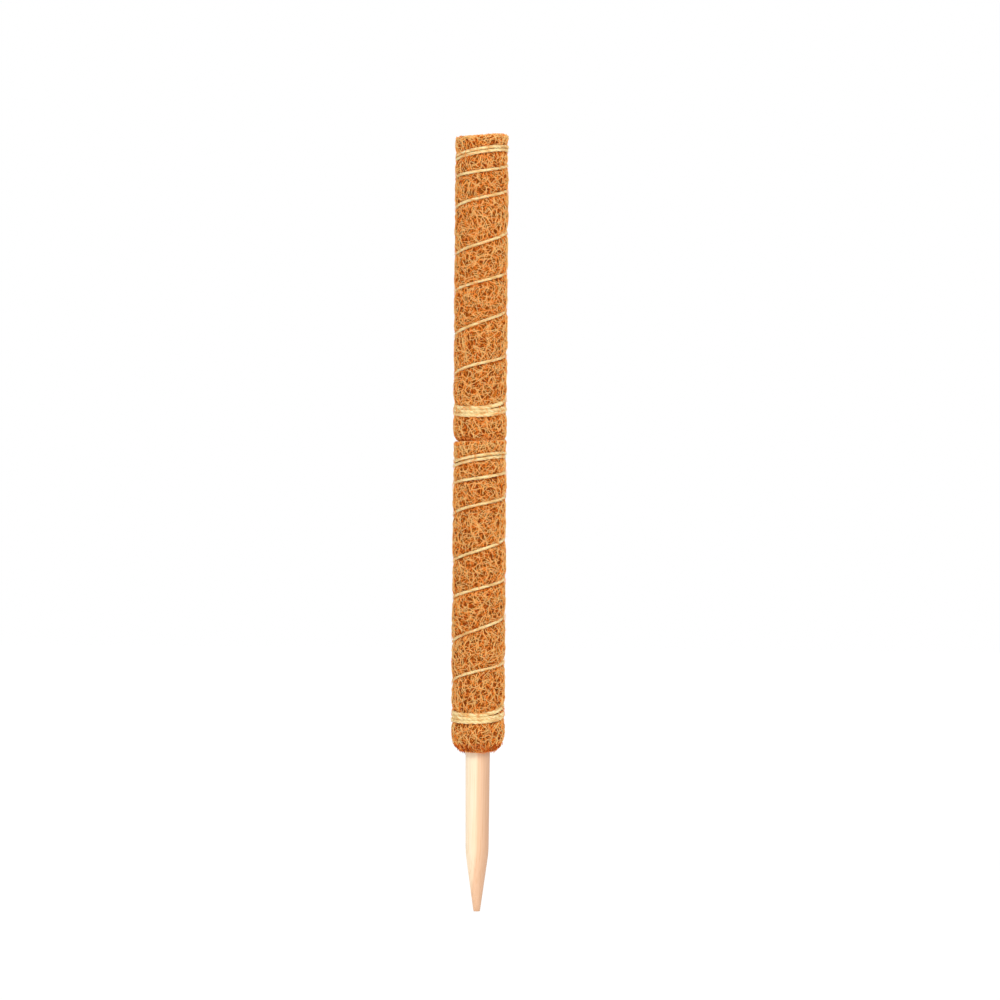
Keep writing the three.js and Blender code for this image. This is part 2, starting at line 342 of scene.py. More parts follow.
def ring_faces(rings, sides, closed_along=False):
    """Quads between neighbouring rings of points, ring after ring."""
    ring = np.arange(rings if closed_along else rings - 1)[:, None]
    side = np.arange(sides)[None, :]
    after = (ring + 1) % rings
    beside = (side + 1) % sides
    corners = (ring * sides + side, ring * sides + beside, after * sides + beside, after * sides + side)
    return np.stack(np.broadcast_arrays(*corners), axis=-1).reshape(-1, 4)


def ring_places(along_from, along_to, sides):
    """Each quad's four places on a map: along the rings, and round them."""
    side = np.arange(sides)[None, :]
    low, high = along_from[:, None], along_to[:, None]
    along = np.stack(np.broadcast_arrays(low + 0 * side, low, high, high), axis=-1)
    round_it = np.stack(np.broadcast_arrays(side, side + 1 + 0 * low, side + 1, side), axis=-1) / sides
    return np.stack([along, round_it], axis=-1).reshape(-1, 2)


class Shape:
    """Points, faces and map places gathered for one piece."""

    def __init__(self):
        self.points = []
        self.faces = []
        self.places = []
        self.count = 0

    def add(self, points, faces, places):
        self.points.append(points.reshape(-1, 3))
        self.faces.extend((faces + self.count).tolist())
        self.places.append(places.reshape(-1, 2))
        self.count += len(self.points[-1])

    def cap(self, rings, sides, along):
        """Close both ends of the tube added last, each with a small disc on the map."""
        ends = np.array([np.arange(sides)[::-1], np.arange(sides) + (rings - 1) * sides])
        self.faces.extend((ends + self.count - rings * sides).tolist())
        for place in along:
            self.places.append(CAP_ON_MAP * circle(sides) + (place, 0.5))

    def make(self, name, material):
        mesh = bpy.data.meshes.new(name)
        mesh.from_pydata(np.concatenate(self.points).tolist(), [], self.faces)
        places = np.concatenate(self.places).astype(np.float32).ravel()
        for map_name in ("pattern", "OFBake"):
            layer = mesh.uv_layers.new(name=map_name)
            layer.uv.foreach_set("vector", places)
        mesh.uv_layers["pattern"].active_render = True
        mesh.materials.append(material)
        mesh.shade_smooth()
        mesh.validate()
        return new_object(name, mesh)


def add_tube(shape, points, out, side, radii, sides, along):
    """A closed tube along one path; out and side span its sections, along places it on the map."""
    rings = len(points)
    ring = circle(sides)
    spokes = ring[:, :1] * out[:, None] + ring[:, 1:] * side[:, None]
    around = points[:, None] + spokes * radii[:, None, None]
    places = ring_places(along[:-1] % 1, along[:-1] % 1 + np.diff(along), sides)
    shape.add(around, ring_faces(rings, sides), places)
    shape.cap(rings, sides, along[[0, -1]] % 1)


def carried_frame(points):
    """Two directions square to a path, carried along it without twisting."""
    ahead = unit(np.gradient(points, axis=0))
    out = np.empty_like(points)
    out[0] = unit(np.cross(ahead[0], (0.0, 0.0, 1.0)))
    for i in range(1, len(points)):
        turned = out[i - 1] - ahead[i] * np.dot(out[i - 1], ahead[i])
        out[i] = turned / np.linalg.norm(turned)
    return out, np.cross(ahead, out)


# The coir mat


class Mat:
    """The outside of one section's coir: a place on it is a turn round and a way along its outline."""

    def __init__(self, name, base):
        self.base = base
        self.shift = WINDING_SHIFT[name]
        self.rim_rise = RIM_RISE[name]
        self.face_lift = FACE_LIFT[name]
        self.rounding = UNDERSIDE_HEIGHT[name]
        self.top_rounding = TOP_ROUNDING[name]
        self.slant = TOP_SLANT[name]
        corner = np.linspace(0, math.pi / 2, CORNER_POINTS)
        low = BORE_RADIUS + UNDERSIDE_FLAT[name]
        high = COIR_RADIUS - self.top_rounding
        radius = [[BORE_RADIUS], low + (COIR_RADIUS - low) * np.sin(corner)]
        taper = UNDERSIDE_TAPER[name]
        height = [[0.0], (self.rounding - taper) * (1 - np.cos(corner)) + taper * np.sin(corner)]
        radius += [high + self.top_rounding * np.cos(corner), [SEAT_RADIUS]]
        height += [COIR_LENGTH - self.top_rounding * (1 - np.sin(corner)), [COIR_LENGTH]]
        self.radius = np.concatenate(radius)
        self.height = np.concatenate(height)
        step = np.hypot(np.diff(self.radius), np.diff(self.height))
        self.way = np.concatenate([[0], np.cumsum(step)])
        self.end = self.way[-1]
        ahead_r = np.gradient(self.radius, self.way)
        ahead_z = np.gradient(self.height, self.way)
        size = np.hypot(ahead_r, ahead_z)
        self.out_r = ahead_z / size
        self.out_z = -ahead_r / size

    def corner(self, end):
        """Where along the outline the side turns in, at the bottom or the top."""
        level = self.rounding if end < 0 else COIR_LENGTH - self.top_rounding
        return np.interp(level, self.height, self.way)

    def radius_at(self, way):
        return np.interp(way, self.way, self.radius)

    def height_at(self, way):
        return np.interp(way, self.way, self.height)

    def slope_at(self, way):
        """How far the outline's normal runs out from the axis, and up."""
        return np.interp(way, self.way, self.out_r), np.interp(way, self.way, self.out_z)

    def out_at(self, turns, way):
        return unit(on_pole(turns, *self.slope_at(way)))

    def above_twine(self, turns, height):
        """How far up from the nearest turn of twine; less than nothing is down from it."""
        share = turns % 1
        nearest = np.full(np.shape(height), np.inf)
        for turn in range(TURN_COUNT):
            gap = height - self.shift - twine_height(turn + share)
            nearest = np.where(np.abs(gap) < np.abs(nearest), gap, nearest)
        return nearest

    def dip(self, turns, height):
        """How deep the twine presses the mat in."""
        nearest = np.abs(self.above_twine(turns, height))
        crease = 1 - smooth(nearest, GROOVE_HALF_WIDTH, GROOVE_HALF_WIDTH + GROOVE_SHOULDER)
        waist = 1 - smooth(nearest, GROOVE_HALF_WIDTH, GROOVE_HALF_WIDTH + WAIST_SHOULDER)
        return (COIR_RADIUS - GROOVE_FLOOR) * (WAIST_SHARE * waist + (1 - WAIST_SHARE) * crease)

    def swell(self, turns, height):
        total = 0 * height
        for times, waves, start, size in LUMPS:
            phase = math.tau * (times * turns + waves * (height + self.base)) + start
            total = total + size * np.sin(phase)
        return total

    def seam(self, turns):
        across = (turns - np.round(turns)) * math.tau * COIR_RADIUS
        return SEAM_DEPTH * np.exp(-((across / SEAM_HALF_WIDTH) ** 2))

    def place(self, turns, way, lift, under=1.0):
        """Points a lift out from the surface; under is 1 below the twine and 0 over it."""
        radius = self.radius_at(way)
        height = self.height_at(way)
        out_r, out_z = self.slope_at(way)
        pressed = self.dip(turns, height) * under
        loose = 1 - pressed / (COIR_RADIUS - GROOVE_FLOOR)
        lift = lift + np.where(out_z < 0, *self.face_lift) * out_z**2
        lift = lift * (PRESSED_LIFT + (1 - PRESSED_LIFT) * loose)
        lift = lift + self.swell(turns, height) * loose - self.seam(turns) * loose
        near_rim = smooth(radius, COIR_RADIUS - RIM_INSIDE, COIR_RADIUS - RIM_INSIDE / 4)
        radius = radius + lift * out_r - pressed
        to_right = radius * np.cos(BACK_ANGLE + math.tau * turns) / COIR_RADIUS
        near_top = smooth(height, COIR_LENGTH - SLANT_DEPTH, COIR_LENGTH)
        rise = self.rim_rise * near_rim * (1 + RIM_LEAN * to_right) - self.slant / 2 * (1 - to_right)
        return on_pole(turns, radius, self.base + height + lift * out_z + rise * near_top)


def make_mat(name, mat, material):
    """The matted coir under the loose fibres, closed down the bore."""
    outer = np.concatenate([np.arange(0, mat.end, MAT_ROW), [mat.end]])
    turns = np.arange(MAT_COLUMNS) / MAT_COLUMNS
    grid_turns, grid_way = np.meshgrid(turns, outer)
    outside = mat.place(grid_turns, grid_way, np.full(grid_turns.shape, -MAT_DEPTH))
    level = np.full(MAT_COLUMNS, mat.base + TUCK)
    inside = [on_pole(turns, radius, level) for radius in (SEAT_RADIUS, BORE_RADIUS)]
    points = np.concatenate([outside, np.stack(inside)])
    rows = len(points)
    share = np.arange(rows + 1) / rows
    shape = Shape()
    places = ring_places(share[:-1], share[1:], MAT_COLUMNS)
    shape.add(points, ring_faces(rows, MAT_COLUMNS, True), places)
    return shape.make(name, material)


def fibre_tubes(shape, points, out, radii, tones):
    """Thin closed tubes for many fibres at once, each on its own strip of tone on the map."""
    count, rings = points.shape[:2]
    ahead = unit(np.gradient(points, axis=1))
    side = unit(np.cross(ahead, out))
    up = np.cross(side, ahead)
    ring = circle(FIBRE_SIDES)
    spokes = ring[:, :1] * up[:, :, None] + ring[:, 1:] * side[:, :, None]
    around = points[:, :, None] + spokes * radii[:, :, None, None]
    start = (np.arange(count) * rings * FIBRE_SIDES)[:, None, None]
    faces = (ring_faces(rings, FIBRE_SIDES)[None] + start).reshape(-1, 4)
    along = np.linspace(*ALONG_RANGE, rings)
    one = ring_places(along[:-1], along[1:], FIBRE_SIDES)
    tones = np.broadcast_to(tones, (count, rings))
    corners = np.stack([tones[:, :-1], tones[:, :-1], tones[:, 1:], tones[:, 1:]], axis=-1)
    tone = np.repeat(corners, FIBRE_SIDES, axis=1).reshape(count, -1)
    tone = tone + TONE_STRIP * (one[:, 1] - 0.5)
    places = np.stack([tone, np.broadcast_to(one[:, 0], tone.shape)], axis=-1)
    shape.add(around, faces, places)
    first = np.arange(FIBRE_SIDES)
    last = first + (rings - 1) * FIBRE_SIDES
    ends = np.stack([first[::-1], last])[None] + start + shape.count - around.size // 3
    shape.faces.extend(ends.reshape(-1, FIBRE_SIDES).tolist())
    cap = TONE_STRIP / 2 * ring
    middle = np.stack([tones[:, [0, -1]], np.broadcast_to(ALONG_RANGE, (count, 2))], axis=-1)
    shape.places.append((middle[:, :, None] + cap).reshape(-1, 2))


def even_shares(first, count, rng):
    """Shares round, along and up spread evenly, a little shaken, going on from the first so many."""
    number = first + np.arange(count)
    shake = rng.normal(0, EVEN_SHAKE / math.sqrt(count), (3, count))
    return [(number / EVEN_STEP ** (k + 1) + shake[k]) % 1 for k in range(3)]


def lay_fibres(shape, mat, rng, kind, piece):
    """Locks of loose fibres felted into the mat: each comes up, runs over it and dives again."""
    locks, per_lock, rings = kind["locks"], kind["per_lock"], kind["points"]
    length = rng.uniform(*kind["length"], locks)
    step = length / (rings - 1)
    turns, way, up = even_shares(piece * locks, locks, rng)
    heading = rng.uniform(0, math.tau, locks)
    curl = rng.normal(0, kind["curl"], locks)
    way = np.abs(way * mat.end - np.sin(heading) * length / 2)
    turns = turns - np.cos(heading) * length / (4 * math.pi * mat.radius_at(way))
    heading = heading - curl * length / 2
    walk = []
    for _ in range(rings):
        walk.append((turns, way, heading))
        turns = turns + np.cos(heading) * step / (math.tau * mat.radius_at(way))
        way = way + np.sin(heading) * step
        way = mat.end - np.abs(mat.end - np.abs(way))
        heading = heading + curl * step + rng.normal(0, kind["wander"], locks) * np.sqrt(step)
    turns, way, heading = np.stack(walk, axis=-1)
    share = np.linspace(0, 1, rings)
    arch = np.sqrt(np.sin(math.pi * share))
    weave = np.sin(math.tau * (length[:, None] / WEAVE * share + rng.random((locks, 1))))
    height = (1 - WEAVE_SHARE) * up[:, None] + WEAVE_SHARE * (0.5 + 0.5 * weave)
    count = locks * per_lock
    walks = (turns, way, heading, height)
    turns, way, heading, height = (np.repeat(part, per_lock, axis=0) for part in walks)
    aside = np.tile(np.arange(per_lock) - (per_lock - 1) / 2, locks)
    aside = aside + rng.normal(0, LOCK_JITTER, count)
    aside = kind["pitch"] * aside[:, None] * (LOCK_FAN[0] + LOCK_FAN[1] * share)
    turns = turns - np.sin(heading) * aside / (math.tau * mat.radius_at(way))
    way = np.clip(way + np.cos(heading) * aside, 0, mat.end)
    crest = kind["crest"][0] + (kind["crest"][1] - kind["crest"][0]) * height
    lift = -FIBRE_DEPTH + (crest + FIBRE_DEPTH) * arch
    loose = rng.uniform(*LOOSE_LIFT, count) * (rng.random(count) < kind["loose"])
    lift += loose[:, None] * smooth(share, LOOSE_FROM, 1.0)
    under = np.where(rng.random(count) < kind["over"], 0.0, 1.0)[:, None]
    width = rng.uniform(*kind["width"], count)
    radii = width[:, None] / 2 * (FIBRE_TIP + (1 - FIBRE_TIP) * arch)
    deep, high, spread = kind["tone"]
    patch = PATCH_TONE * mat.swell(turns[:, 0], PATCH_CLOSER * way[:, 0])
    level = mat.height_at(way.mean(axis=1))
    # Painted shade at the mat's foot, painted light along its top edge
    painted_shade_and_light = FOOT_PAINTED_SHADE * (1 - smooth(level, 0, END_REACH))
    painted_shade_and_light -= RIM_PAINTED_LIGHT * smooth(level, COIR_LENGTH - RIM_REACH, COIR_LENGTH)
    to_left = -np.cos(BACK_ANGLE + math.tau * turns)
    # Painted shade by depth: the deeper a fibre lies, the darker its tone
    tones = deep + high * height + (patch - painted_shade_and_light + rng.normal(0, spread, count))[:, None]
    # Painted shade on the left side
    tones -= LEFT_PAINTED_SHADE * np.maximum(to_left, 0)
    # Painted shade: fibres in the crease just under the twine are darkened for its shadow
    gap = mat.above_twine(turns, mat.height_at(way))
    painted_crease_shade = smooth(gap, -CREASE_REACH, -TWINE_RADIUS) - smooth(gap, 0, TWINE_RADIUS)
    tones -= CREASE_PAINTED_SHADE * painted_crease_shade
    # Painted light: fibres that stand out keep at least this tone, clear of the painted shade
    proud = (under == 0) | (loose[:, None] > 0)
    tones = np.where(proud, np.maximum(tones, PROUD_PAINTED_LIGHT), tones)
    points = mat.place(turns, way, lift, under)
    fibre_tubes(shape, points, mat.out_at(turns, way), radii, np.clip(tones, *TONE_RANGE))


def lay_strays(shape, mat):
    """The few long pale fibres that can be made out on the front of both sections."""
    share = np.linspace(0, 1, STRAY_POINTS)
    arch = np.sin(math.pi * share)
    for left, low, right, high, bow in MM * np.array(STRAY_FIBRES):
        across = left + (right - left) * share + bow * arch
        up = low + (high - low) * share + bow * arch
        turns = (FRONT_TURN + np.arcsin(across / COIR_RADIUS) / (math.tau))[None]
        way = np.interp(up, mat.height, mat.way)[None]
        points = mat.place(turns, way, np.full(turns.shape, STRAY_LIFT))
        radii = STRAY_RADIUS * (STRAY_TIP + (1 - STRAY_TIP) * np.sqrt(arch))[None]
        fibre_tubes(shape, points, mat.out_at(turns, way), radii, np.array([[STRAY_TONE]]))


def lay_fringe(shape, mat, rng, fringe, count):
    """Cut fibre ends that stand out a little where the mat rounds in at its top or bottom."""
    turns = rng.random(count)
    way = mat.corner(fringe["end"]) + rng.uniform(*fringe["from"], count)
    heading = fringe["end"] * math.pi / 2 + rng.normal(0, FRINGE_SWAY, count)
    depth = rng.uniform(*FRINGE_DEPTH, count)
    next_turns = turns + np.cos(heading) * FRINGE_STEP / (math.tau * mat.radius_at(way))
    root = mat.place(turns, way, depth)
    ahead = unit(mat.place(next_turns, way + np.sin(heading) * FRINGE_STEP, depth) - root)
    ahead = unit(ahead + rng.uniform(*fringe["outwards"], (count, 1)) * mat.out_at(turns, way))
    length = rng.uniform(*fringe["length"], count)
    share = np.linspace(0, 1, FRINGE_POINTS)
    sag = rng.normal(0, FRINGE_SAG, (count, 3)) * length[:, None]
    points = root[:, None] + (length[:, None] * share)[:, :, None] * ahead[:, None]
    points = points + (share**2)[:, None] * sag[:, None]
    out = np.broadcast_to(mat.out_at(turns, way)[:, None], points.shape)
    radii = rng.uniform(*FRINGE_WIDTH, count)[:, None] / 2 * (1 - FRINGE_THIN * share)
    tones = rng.normal(fringe["tone"], FRINGE_TONES, (count, 1))
    fibre_tubes(shape, points, out, radii, np.clip(tones, *TONE_RANGE))


def make_fibres(name, mat, seed, material, fringes):
    """One share of a section's loose fibres; the first share has the strays too."""
    rng = np.random.default_rng(seed)
    number = seed[1]
    shape = Shape()
    for kind in (SHORT_FIBRES, LONG_FIBRES):
        lay_fibres(shape, mat, rng, kind, number)
    for fringe, count in zip((BOTTOM_FRINGE, TOP_FRINGE), fringes):
        lay_fringe(shape, mat, rng, fringe, count)
    if number == 0:
        lay_strays(shape, mat)
    return shape.make(name, material)


# The twine

TWINE_LAY = 9.5 * MM
PLY_RADIUS = 0.52 * MM
PLY_OFFSET = 0.44 * MM
TWINE_THIN = 0.88  # pressed on the coir, it is thinner outwards and wider along the pole
TWINE_WIDE = 1.04
BAND_WIDE = 1.42  # of the bottom band, whose strands are spread against each other
TOP_BAND_WIDE = 1.12
BAND_FULL = 1.03
PLY_SIDES = 7
TWINE_STEP = 0.9 * MM
TWINE_PATTERN = 120 * MM  # of twine on one width of its map
PLY_SHIFT = 31 * MM  # from one ply to the next on that map
PLY_COUNT = 3
SLUB_STEP = 9 * MM
SLUBS = 0.07  # of a ply's radius
SPREAD_FADE = 0.5  # of a turn, where a band opens
WOBBLE_STEP = 0.13  # of a turn
WOBBLE = 0.16 * MM
WOBBLE_FADE = 0.5  # of a turn, at the knots
FUZZ_COUNT = 700
FUZZ_LENGTH = (1.2 * MM, 3.6 * MM)
FUZZ_RADIUS = 0.09 * MM
FUZZ_TAPER = (1, 0.9, 0.75, 0.4)
FUZZ_SIDES = 3
FUZZ_MARGIN = 4  # points at each end without hairs
FUZZ_SPAN = 0.6 * math.pi  # to either side of straight out
FUZZ_SLOPE = (0.1, 0.75)
FUZZ_DROOP = 0.3
FUZZ_ROOT = 0.75  # of the twine's radius
FUZZ_ON_MAP = 0.01  # length of a hair on that map


def add_plies(shape, points, out, side, wide, full, rng):
    """Three plies twisted round one path, a little uneven; wide flattens the twine, full fattens it."""
    step = np.linalg.norm(np.diff(points, axis=0), axis=1)
    arc = np.concatenate([[0], np.cumsum(step)])
    marks = np.arange(0, arc[-1] + 2 * SLUB_STEP, SLUB_STEP)
    for ply in range(PLY_COUNT):
        turn = math.tau * (arc / TWINE_LAY + ply / PLY_COUNT)
        slub = np.interp(arc, marks, rng.normal(1, SLUBS, len(marks)))
        thick, broad = TWINE_THIN * out, wide * side
        spoke = np.cos(turn)[:, None] * thick + np.sin(turn)[:, None] * broad
        across = -np.sin(turn)[:, None] * thick + np.cos(turn)[:, None] * broad
        centre = points + PLY_OFFSET * spoke
        along = (arc + ply * PLY_SHIFT) / TWINE_PATTERN
        add_tube(shape, centre, spoke, across, PLY_RADIUS * slub * full, PLY_SIDES, along)


def twine_wobble(turns, rng):
    """How far hand-wound twine strays up and down from its line."""
    marks = np.arange(0, TURN_COUNT + 1, WOBBLE_STEP)
    stray = rng.normal(0, WOBBLE, len(marks))
    smoothed = np.convolve(stray, (0.25, 0.5, 0.25), "same")
    from_start = smooth(turns, KNOT_START, WOBBLE_FADE)
    to_end = smooth(turns, TURN_COUNT - WOBBLE_FADE, TURN_COUNT - KNOT_START)
    return np.interp(turns, marks, smoothed) * from_start * (1 - to_end)


def add_fuzz(shape, points, out, side, rng):
    """Fine hairs that stand off the twine, most of them leaning along it."""
    ahead = np.cross(out, side)
    root = rng.integers(FUZZ_MARGIN, len(points) - FUZZ_MARGIN, FUZZ_COUNT)
    angle = rng.uniform(-FUZZ_SPAN, FUZZ_SPAN, FUZZ_COUNT)[:, None]
    away = np.cos(angle) * out[root] + np.sin(angle) * side[root]
    along = ahead[root] * rng.choice((-1, 1), FUZZ_COUNT)[:, None]
    length = rng.uniform(*FUZZ_LENGTH, FUZZ_COUNT)[:, None]
    slope = rng.uniform(*FUZZ_SLOPE, FUZZ_COUNT)[:, None]
    radii = FUZZ_RADIUS * np.array(FUZZ_TAPER)
    share = np.linspace(0, 1, len(FUZZ_TAPER))
    for hair in range(FUZZ_COUNT):
        reach = share[:, None] * length[hair]
        droop = 1 - FUZZ_DROOP * reach / length[hair]
        lift = TWINE_RADIUS * FUZZ_ROOT + slope[hair] * reach * droop
        path = points[root[hair]] + along[hair] * reach + away[hair] * lift
        hair_out, hair_side = carried_frame(path)
        places = rng.random() + FUZZ_ON_MAP * share
        add_tube(shape, path, hair_out, hair_side, radii, FUZZ_SIDES, places)


def make_twine(name, base, seed, material):
    rng = np.random.default_rng(seed)
    length = TURN_COUNT * math.tau * TWINE_LINE_RADIUS
    turns = np.linspace(KNOT_START, TURN_COUNT - KNOT_START, round(length / TWINE_STEP))
    points = twine_line(turns) + (0, 0, base)
    ahead = unit(np.gradient(points, axis=0))
    side = unit(np.cross(ahead, on_pole(turns, 1.0, 0 * turns)))
    out = np.cross(side, ahead)
    points += twine_wobble(turns, rng)[:, None] * side
    first_free, last_free = BOTTOM_BAND_TURNS, TURN_COUNT - TOP_BAND_TURNS
    in_bottom = 1 - smooth(turns, first_free - SPREAD_FADE / 2, first_free + SPREAD_FADE / 2)
    in_top = smooth(turns, last_free, last_free + SPREAD_FADE)
    wide = TWINE_WIDE + (BAND_WIDE - TWINE_WIDE) * in_bottom + (TOP_BAND_WIDE - TWINE_WIDE) * in_top
    full = 1 + (BAND_FULL - 1) * (in_bottom + in_top)
    shape = Shape()
    add_plies(shape, points, out, side, wide[:, None], full, rng)
    add_fuzz(shape, points, out, side, rng)
    return shape.make(name, material)


KNOT_POINTS = 90
# A knot's path, in twine diameters: along the twine away from the winding, outwards, and up
KNOT_PATH = (
    (-0.9, 0.0, 0.0),
    (0.0, 0.0, 0.0),
    (0.7, 0.05, 0.1),
    (1.4, 0.2, 0.55),
    (1.65, 0.8, 0.6),
    (1.25, 1.05, 0.0),
    (0.85, 0.75, -0.62),
    (0.85, 0.0, -0.75),
    (1.3, -0.3, -0.3),
    (1.95, -0.1, 0.3),
    (2.5, 0.2, 0.35),
    (3.4, 0.25, 0.15),
    (4.6, 0.0, -0.25),
    (5.8, -0.15, -0.8),
)


def through(points, count):
    """A smooth path through a few points."""
    points = np.array(points, float)
    padded = np.concatenate([[2 * points[0] - points[1]], points, [2 * points[-1] - points[-2]]])
    place = np.linspace(0, len(points) - 1, count)
    first = np.minimum(place.astype(int), len(points) - 2)
    t = (place - first)[:, None]
    a, b, c, d = (padded[first + k] for k in range(4))
    second = a - 2.5 * b + 2 * c - d / 2
    third = 1.5 * (b - c) + (d - a) / 2
    return b + t * (c - a) / 2 + t**2 * second + t**3 * third


def make_knot(name, base, turns, outward, seed, material):
    rng = np.random.default_rng(seed)
    local = through(KNOT_PATH, KNOT_POINTS) * 2 * TWINE_RADIUS
    height = twine_height(np.array([turns]))[0] + KNOT_OFFSET * outward
    path_turns = turns + outward * local[:, 0] / (math.tau * KNOT_LINE_RADIUS)
    points = on_pole(path_turns, KNOT_LINE_RADIUS + local[:, 1], base + height + outward * local[:, 2])
    out, side = carried_frame(points)
    shape = Shape()
    add_plies(shape, points, out, side, 1.0, 1.0, rng)
    return shape.make(name, material)


# The stake and the core tube

TURNED_COLUMNS = 96
SHARP_ANGLE = math.radians(35)


def make_turned(name, profile, base, material, closed):
    """A piece turned about the pole's axis from points of radius and height."""
    radius, height = np.array(profile).T
    turns = np.arange(TURNED_COLUMNS) / TURNED_COLUMNS
    points = on_pole(turns, radius[:, None], base + height[:, None] + 0 * turns)
    rows = len(radius)
    step = np.hypot(np.diff(radius, append=radius[0]), np.diff(height, append=height[0]))
    share = np.concatenate([[0], np.cumsum(step)]) / step.sum()
    share = share if closed else share[:-1] / share[-2]
    shape = Shape()
    places = ring_places(share[:-1], share[1:], TURNED_COLUMNS)
    shape.add(points, ring_faces(rows, TURNED_COLUMNS, closed), places)
    if not closed:
        shape.cap(rows, TURNED_COLUMNS, (0.0, 1.0))
    piece = shape.make(name, material)
    piece.data.set_sharp_from_angle(angle=SHARP_ANGLE)
    return piece


STAKE_SHOULDER_RADIUS = 7.4 * MM
STAKE_TIP_RADIUS = 2.1 * MM
STAKE_POINT = 43 * MM
STAKE_SHOULDER = 10 * MM
STAKE_CHAMFER = 1 * MM
STAKE_TIP_ROUNDING = 0.5 * MM
AXIS_RADIUS = 0.02 * MM  # of the small faces that close the stake's ends
STRAIGHT_STEPS = 20
BEND_STEPS = 10
TUBE_CLEARANCE = 0.3 * MM
TUBE_EASE = 0.35 * MM
TUBE_STEPS = 10


def straight(start, end, steps):
    """Even steps from the start, which is left out, to the end."""
    share = np.linspace(1 / steps, 1, steps)[:, None]
    return list(start + (np.array(end) - start) * share)


def stake_profile():
    """Blunt point, rounded shoulder, and a shank that swells a little up to the coir."""
    cone_top = STAKE_POINT - STAKE_SHOULDER
    bend = STAKE_POINT - STAKE_SHOULDER / 2
    cone_radius = STAKE_TIP_RADIUS + (STAKE_SHOULDER_RADIUS - STAKE_TIP_RADIUS) * cone_top / bend
    rim = STAKE_TIP_ROUNDING
    profile = [
        (AXIS_RADIUS, STAKE_TIP),
        (STAKE_TIP_RADIUS - rim, STAKE_TIP),
        (STAKE_TIP_RADIUS - rim / 4, STAKE_TIP + rim / 4),
        (STAKE_TIP_RADIUS, STAKE_TIP + rim),
    ]
    cone_end = (cone_radius, STAKE_TIP + cone_top)
    profile += straight((STAKE_TIP_RADIUS, STAKE_TIP), cone_end, STRAIGHT_STEPS)
    for t in np.linspace(1 / BEND_STEPS, 1, BEND_STEPS):
        radius = (1 - t) ** 2 * cone_radius + (1 - (1 - t) ** 2) * STAKE_SHOULDER_RADIUS
        height = (1 - t) ** 2 * cone_top + 2 * t * (1 - t) * bend + t**2 * STAKE_POINT
        profile.append((radius, STAKE_TIP + height))
    shoulder, soil = profile[-1], (STAKE_RADIUS, 0)
    profile += straight(shoulder, soil, STRAIGHT_STEPS)
    profile += straight(soil, (STAKE_RADIUS, STAKE_TOP - STAKE_CHAMFER), STRAIGHT_STEPS)
    return profile + [(STAKE_RADIUS - STAKE_CHAMFER, STAKE_TOP), (AXIS_RADIUS, STAKE_TOP)]


def tube_profile():
    """Up the outside, over an eased rim, and down the bore."""
    inner = STAKE_RADIUS + TUBE_CLEARANCE
    high = TUBE_RIM - TUBE_EASE
    profile = [(inner, TUBE_FOOT), (TUBE_RADIUS, TUBE_FOOT)]
    profile += straight(profile[1], (TUBE_RADIUS, high), TUBE_STEPS)
    profile += [(TUBE_RADIUS - TUBE_EASE, TUBE_RIM), (inner + TUBE_EASE, TUBE_RIM)]
    return profile + straight(profile[0], (inner, high), TUBE_STEPS)[::-1]


# Materials

MIX_FIRST, MIX_SECOND, MIX_RESULT = 6, 7, 2  # a Mix node's sockets for colours


def new_material(name, roughness, specular):
    """A material with its node tree and its shader."""
    material = bpy.data.materials.new(name)
    material.use_nodes = True
    tree = material.node_tree
    shader = tree.nodes["Principled BSDF"]
    shader.inputs["Roughness"].default_value = roughness
    shader.inputs["Specular IOR Level"].default_value = specular
    return material, tree, shader


def add_node(tree, kind, inputs=None, **settings):
    """A shader node with its settings, and its sockets set to values or linked to other sockets."""
    node = tree.nodes.new("ShaderNode" + kind)
    for setting, value in settings.items():
        setattr(node, setting, value)
    for socket, value in (inputs or {}).items():
        if isinstance(value, bpy.types.NodeSocket):
            tree.links.new(value, node.inputs[socket])
        else:
            node.inputs[socket].default_value = value
    return node


def add_ramp(tree, factor, *stops):
    """A colour ramp through stops of a place and an sRGB colour."""
    node = add_node(tree, "ValToRGB", {"Fac": factor})
    ramp = node.color_ramp
    while len(ramp.elements) < len(stops):
        ramp.elements.new(1.0)
    for element, (place, shade) in zip(ramp.elements, stops):
        element.position = place
        element.color = colour(*shade)
    return node.outputs["Color"]


def map_parts(tree):
    """The two directions of a piece's own map."""
    places = add_node(tree, "UVMap", uv_map="pattern")
    return add_node(tree, "SeparateXYZ", {0: places.outputs["UV"]}).outputs[:2]


def object_place(tree):
    return add_node(tree, "TexCoord").outputs["Object"]


def stretched(tree, place, along):
    """A place squeezed along the pole, which draws a pattern out."""
    return add_node(tree, "Mapping", {"Vector": place, "Scale": (1.0, 1.0, along)}).outputs[0]


def noise(tree, place, scale, detail, distortion=0.0):
    inputs = {"Vector": place, "Scale": scale, "Detail": detail, "Distortion": distortion}
    return add_node(tree, "TexNoise", inputs).outputs["Fac"]


def calculate(tree, operation, first, second=0.0, third=0.0):
    inputs = {0: first, 1: second, 2: third}
    return add_node(tree, "Math", inputs, operation=operation).outputs[0]


def multiply(tree, first, second):
    """One colour stained by another."""
    inputs = {"Factor": 1.0, MIX_FIRST: first, MIX_SECOND: second}
    stained = add_node(tree, "Mix", inputs, data_type="RGBA", blend_type="MULTIPLY")
    return stained.outputs[MIX_RESULT]


def add_bump(tree, shader, height, distance):
    bump = add_node(tree, "Bump", {"Height": height, "Distance": distance})
    tree.links.new(bump.outputs["Normal"], shader.inputs["Normal"])


MOTTLE_ACROSS = 90.0  # keeps each tone's mottle apart
MOTTLE = 0.36  # of the whole range of tones


